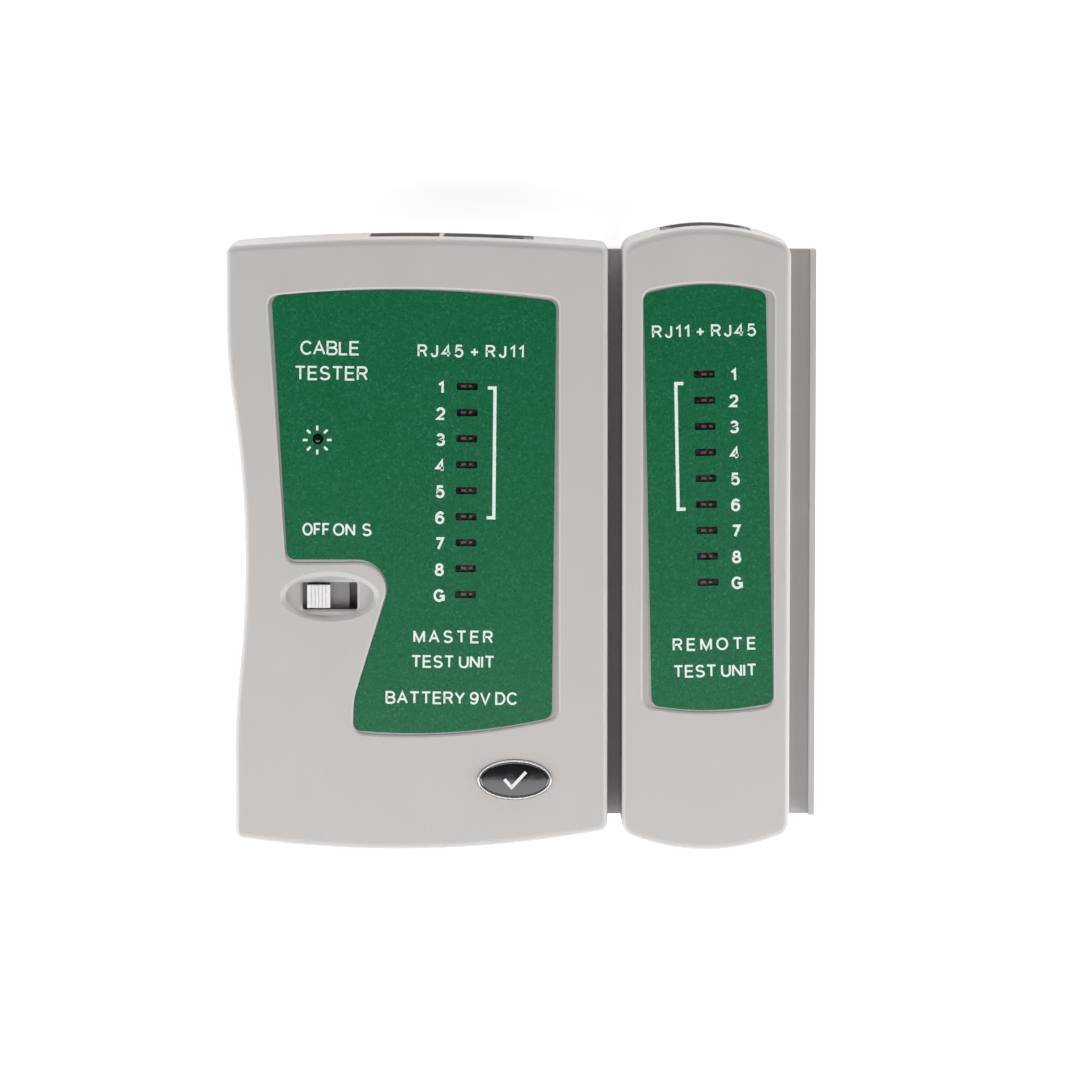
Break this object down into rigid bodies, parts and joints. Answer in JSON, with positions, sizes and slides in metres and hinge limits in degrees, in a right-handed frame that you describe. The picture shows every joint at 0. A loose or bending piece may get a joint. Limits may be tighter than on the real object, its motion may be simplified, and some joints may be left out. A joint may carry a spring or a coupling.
{
  "type": "network cable tester",
  "caption": "Two-part network cable tester: a waisted master unit with a slide switch and sockets, and a slim remote docked on its side rail, both with green labels and lamp rows.",
  "frame": {"origin": "middle of the whole object's outline, on the flat back face that it lies on", "axes": "+X from the master unit to the remote unit, +Y towards the master's sockets, +Z out of the front face with the labels"},
  "size_m": [0.0988, 0.1045, 0.0276],
  "materials": {
    "casing": "warm light grey injection-moulded plastic, fine satin texture",
    "label": "green printed sticker with a fine metallic speckle",
    "lamp": "dark red tinted lamp, unlit",
    "power_lamp": "dark red tinted lamp, unlit",
    "jack_plastic": "black moulded plastic",
    "contact_wire": "gilt spring wire",
    "circuit_board": "green solder mask over glass-fibre board",
    "chip_plastic": "black epoxy with tinned legs",
    "resistor_body": "beige lacquered body",
    "diode_glass": "orange glass body",
    "capacitor_can": "aluminium can in a dark blue sleeve",
    "screw_steel": "zinc-plated steel",
    "badge_rim": "bright metallised rim",
    "badge_dome": "black glossy resin dome",
    "knob_plastic": "white moulded plastic, ribbed",
    "switch_steel": "nickel-plated folded sheet",
    "switch_base": "grey glass-filled plastic",
    "terminal_metal": "tinned pins",
    "battery_jacket": "printed metal jacket, dark with a copper-coloured band",
    "battery_terminal": "nickel-plated",
    "snap_plastic": "black soft plastic",
    "lead_red": "red insulated wire",
    "lead_black": "black insulated wire"
  },
  "bodies": {
    "master": {"badge_dome": "badge_dome", "badge_rim": "badge_rim", "battery": "battery_jacket", "battery_lead_black": "lead_black", "battery_lead_red": "lead_red", "battery_snap": "snap_plastic", "battery_terminals": "battery_terminal", "counter_chip": "chip_plastic", "master_back_shell": "casing", "master_board_screws": "screw_steel", "master_capacitor": "capacitor_can", "master_case_screws": "screw_steel", "master_circuit_board": "circuit_board", "master_diodes": "diode_glass", "master_front_shell": "casing", "master_label": "label", "master_led_1": "lamp", "master_led_2": "lamp", "master_led_3": "lamp", "master_led_4": "lamp", "master_led_5": "lamp", "master_led_6": "lamp", "master_led_7": "lamp", "master_led_8": "lamp", "master_led_g": "lamp", "master_resistors": "resistor_body", "master_rj11_contacts": "contact_wire", "master_rj11_jack": "jack_plastic", "master_rj45_contacts": "contact_wire", "master_rj45_jack": "jack_plastic", "power_led": "power_lamp", "switch_base": "switch_base", "switch_frame": "switch_steel", "switch_terminals": "terminal_metal", "timer_chip": "chip_plastic"},
    "remote": {"remote_back_shell": "casing", "remote_board_screws": "screw_steel", "remote_case_screws": "screw_steel", "remote_circuit_board": "circuit_board", "remote_diodes": "diode_glass", "remote_front_shell": "casing", "remote_label": "label", "remote_led_1": "lamp", "remote_led_2": "lamp", "remote_led_3": "lamp", "remote_led_4": "lamp", "remote_led_5": "lamp", "remote_led_6": "lamp", "remote_led_7": "lamp", "remote_led_8": "lamp", "remote_led_g": "lamp", "remote_rj11_contacts": "contact_wire", "remote_rj11_jack": "jack_plastic", "remote_rj45_contacts": "contact_wire", "remote_rj45_jack": "jack_plastic"},
    "switch_knob": {"switch_knob": "knob_plastic"},
    "battery_cover": {"battery_cover": "casing"}
  },
  "joints": [
    {"name": "remote_slide", "type": "slide", "parent": "master", "child": "remote", "axis": [0, 1, 0], "range_m": [0, 0.105]},
    {"name": "switch_slide", "type": "slide", "parent": "master", "child": "switch_knob", "axis": [1, 0, 0], "range_m": [0, 0.0037]},
    {"name": "battery_cover_slide", "type": "slide", "parent": "master", "child": "battery_cover", "axis": [0, -1, 0], "range_m": [0, 0.036]}
  ]
}
